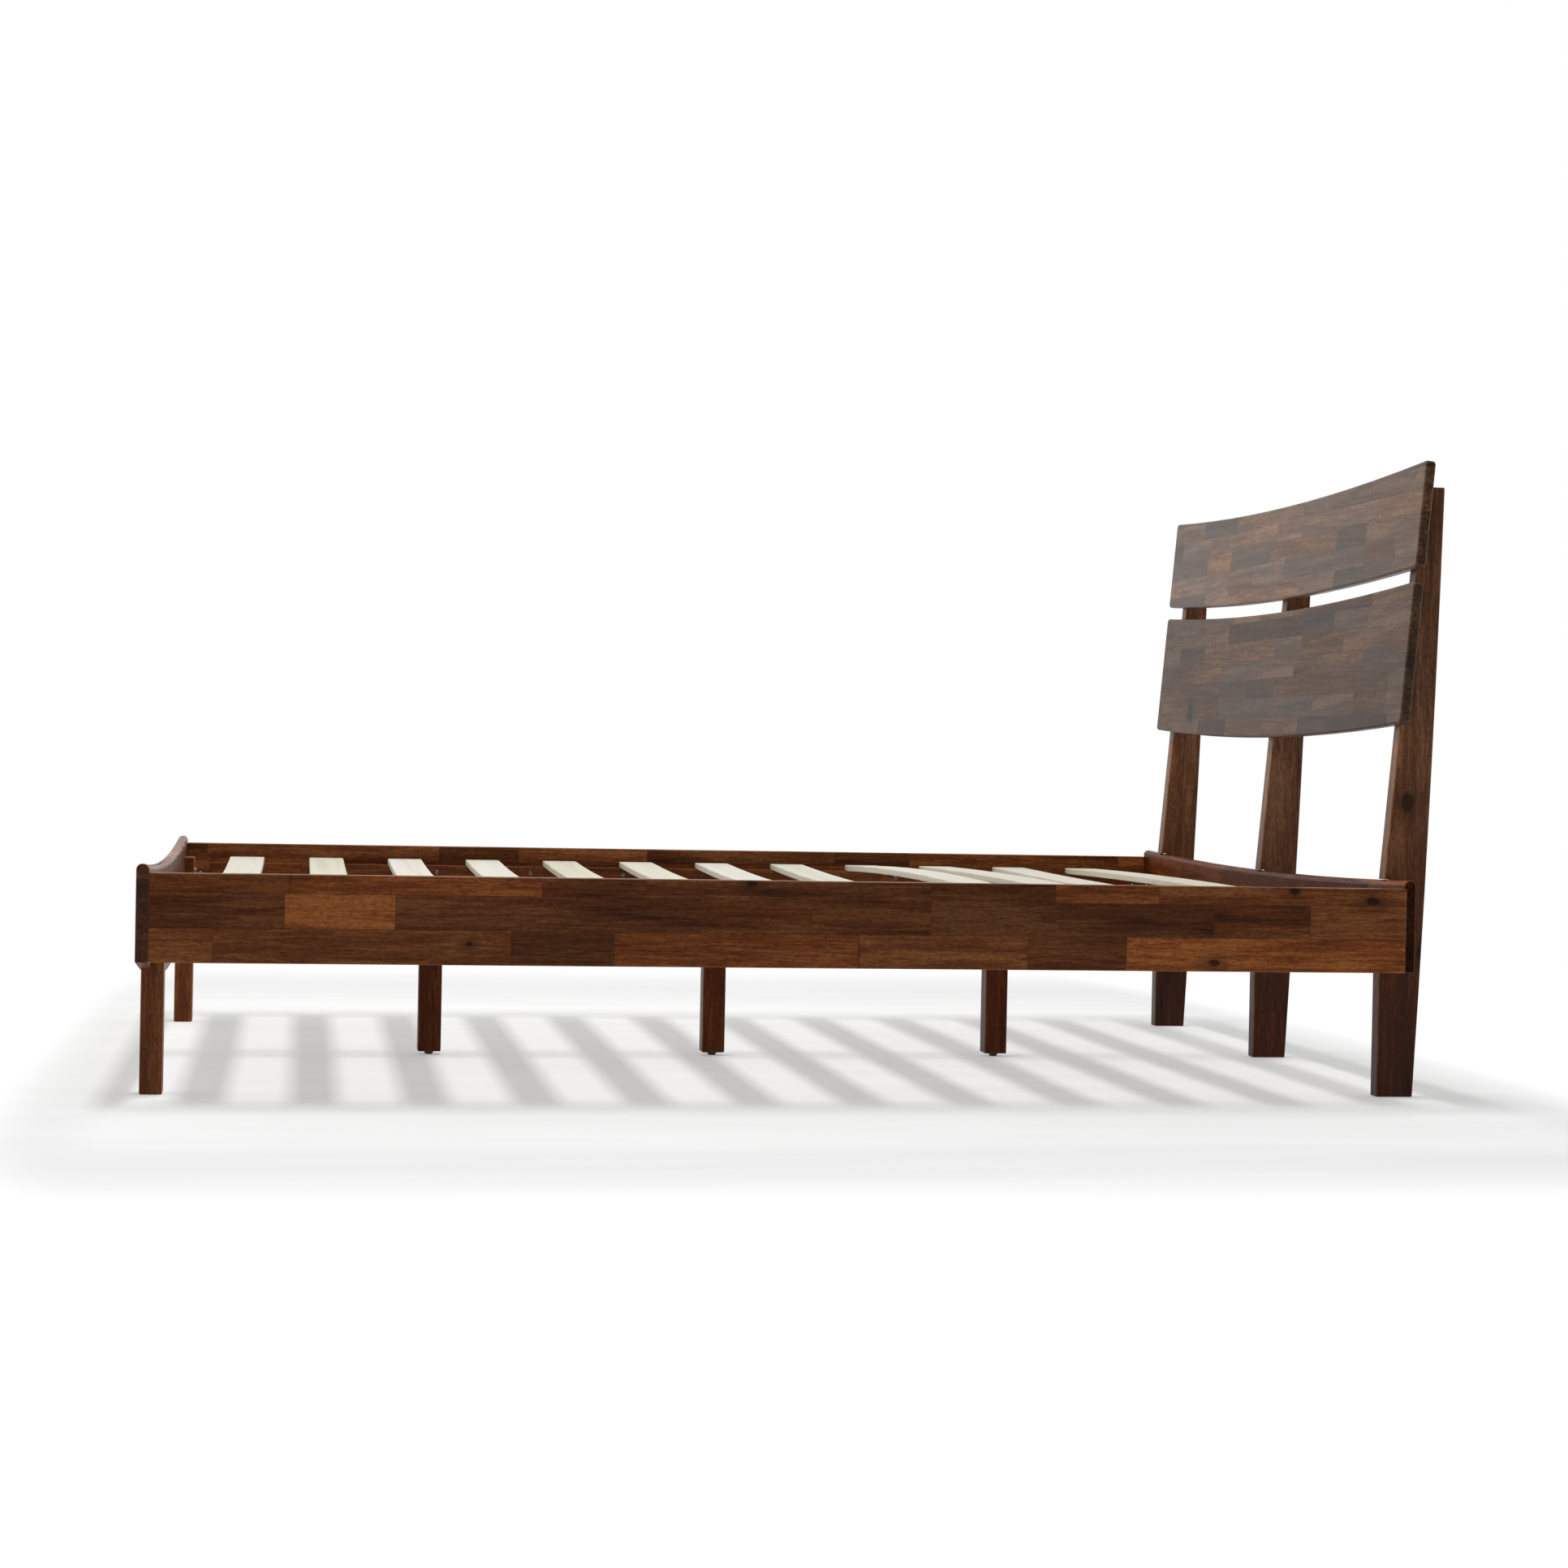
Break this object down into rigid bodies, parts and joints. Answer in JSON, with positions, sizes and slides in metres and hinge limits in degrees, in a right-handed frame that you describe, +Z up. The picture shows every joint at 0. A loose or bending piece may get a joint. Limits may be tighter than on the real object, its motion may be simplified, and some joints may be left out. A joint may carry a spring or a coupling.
{
  "type": "sleigh bed",
  "caption": "Low wooden platform bed frame with arched footboard, raked headboard of dipped planks, slats on ledges and a centre beam",
  "frame": {"origin": "bottom centre of the whole bed's bounding box, on the floor", "axes": "+X from the footboard to the headboard, +Y to the sleeper's right, +Z up"},
  "size_m": [2.1599, 1.584, 1.0777],
  "materials": {
    "stained_wood": "satin lacquer over walnut-brown stain",
    "slat_wood": "planed, unfinished pale wood",
    "batten_wood": "planed, unfinished wood",
    "bracket_steel": "zinc-plated sheet",
    "fastener_steel": "zinc-plated",
    "glide_plastic": "moulded, black"
  },
  "bodies": {
    "bed_frame": {"beam_hanger_foot": "bracket_steel", "beam_hanger_head": "bracket_steel", "centre_beam": "batten_wood", "centre_leg_foot": "stained_wood", "centre_leg_head": "stained_wood", "centre_leg_middle": "stained_wood", "corner_bolts": "fastener_steel", "corner_bracket_foot_left": "bracket_steel", "corner_bracket_foot_right": "bracket_steel", "corner_bracket_head_left": "bracket_steel", "corner_bracket_head_right": "bracket_steel", "foot_leg_left": "stained_wood", "foot_leg_right": "stained_wood", "footboard": "stained_wood", "hanger_screws": "fastener_steel", "head_post_left": "stained_wood", "head_post_middle": "stained_wood", "head_post_right": "stained_wood", "head_rail": "stained_wood", "headboard_plank_lower": "stained_wood", "headboard_plank_upper": "stained_wood", "ledge_left": "stained_wood", "ledge_right": "stained_wood", "ledge_screws_left": "fastener_steel", "ledge_screws_right": "fastener_steel", "leg_bolts": "fastener_steel", "leg_studs": "fastener_steel", "plank_screws": "fastener_steel", "post_bolts": "fastener_steel", "side_rail_left": "stained_wood", "side_rail_right": "stained_wood", "slat_01": "slat_wood", "slat_02": "slat_wood", "slat_03": "slat_wood", "slat_04": "slat_wood", "slat_05": "slat_wood", "slat_06": "slat_wood", "slat_07": "slat_wood", "slat_08": "slat_wood", "slat_09": "slat_wood", "slat_10": "slat_wood", "slat_11": "slat_wood", "slat_12": "slat_wood"},
    "foot_glide": {"glide_foot": "glide_plastic"},
    "middle_glide": {"glide_middle": "glide_plastic"},
    "head_glide": {"glide_head": "glide_plastic"}
  },
  "joints": [
    {"name": "foot_glide_travel", "type": "slide", "parent": "bed_frame", "child": "foot_glide", "axis": [0, 0, -1], "range_m": [0, 0.01]},
    {"name": "middle_glide_travel", "type": "slide", "parent": "bed_frame", "child": "middle_glide", "axis": [0, 0, -1], "range_m": [0, 0.01]},
    {"name": "head_glide_travel", "type": "slide", "parent": "bed_frame", "child": "head_glide", "axis": [0, 0, -1], "range_m": [0, 0.01]}
  ]
}
